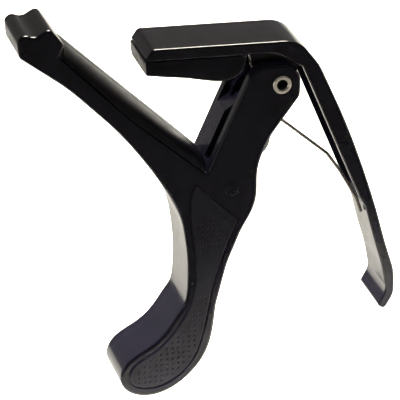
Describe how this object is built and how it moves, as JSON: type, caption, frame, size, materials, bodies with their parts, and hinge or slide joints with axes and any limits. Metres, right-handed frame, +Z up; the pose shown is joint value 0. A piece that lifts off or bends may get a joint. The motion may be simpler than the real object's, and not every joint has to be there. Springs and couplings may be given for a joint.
{
  "type": "guitar capo",
  "caption": "Spring-closed trigger capo: a C-shaped squeeze handle with a padded string bar, and a sprung lever with a neck pad that clamps a guitar neck.",
  "frame": {"origin": "middle of the footprint on the surface the capo stands on, with the foot of the handle and the end of the lever both touching it", "axes": "+Z up, the longest way, from the foot to the string bar's tip; +X from the handle towards the lever; +Y through the thickness, along the pivot, from the front face to the back"},
  "size_m": [0.0736, 0.0166, 0.1044],
  "materials": {
    "black_paint": "glossy black paint over a casting",
    "grip_black": "satin, raised dots",
    "pad_rubber": "smooth dark silicone rubber",
    "nickel": "bright nickel",
    "bare_steel": "turned steel",
    "spring_steel": "bright drawn wire",
    "washer_nylon": "natural nylon"
  },
  "bodies": {
    "frame": {"main_frame": "black_paint", "string_pad": "pad_rubber", "grip_front": "grip_black", "grip_back": "grip_black", "pivot_eyelet": "nickel", "pivot_sleeve": "bare_steel", "thrust_washer_front": "washer_nylon", "thrust_washer_back": "washer_nylon", "spring_anchor_pin": "black_paint", "torsion_spring": "spring_steel"},
    "lever": {"trigger_lever": "black_paint", "neck_pad": "pad_rubber"}
  },
  "joints": [
    {"name": "lever_pivot", "type": "hinge", "parent": "frame", "child": "lever", "pos_m": [0.02217, 0, 0.06917], "axis": [0, 1, 0], "range_deg": [0, 34], "stiffness_Nm_per_rad": 0.8, "springref_deg": -42.97, "deforming": ["torsion_spring"]}
  ]
}
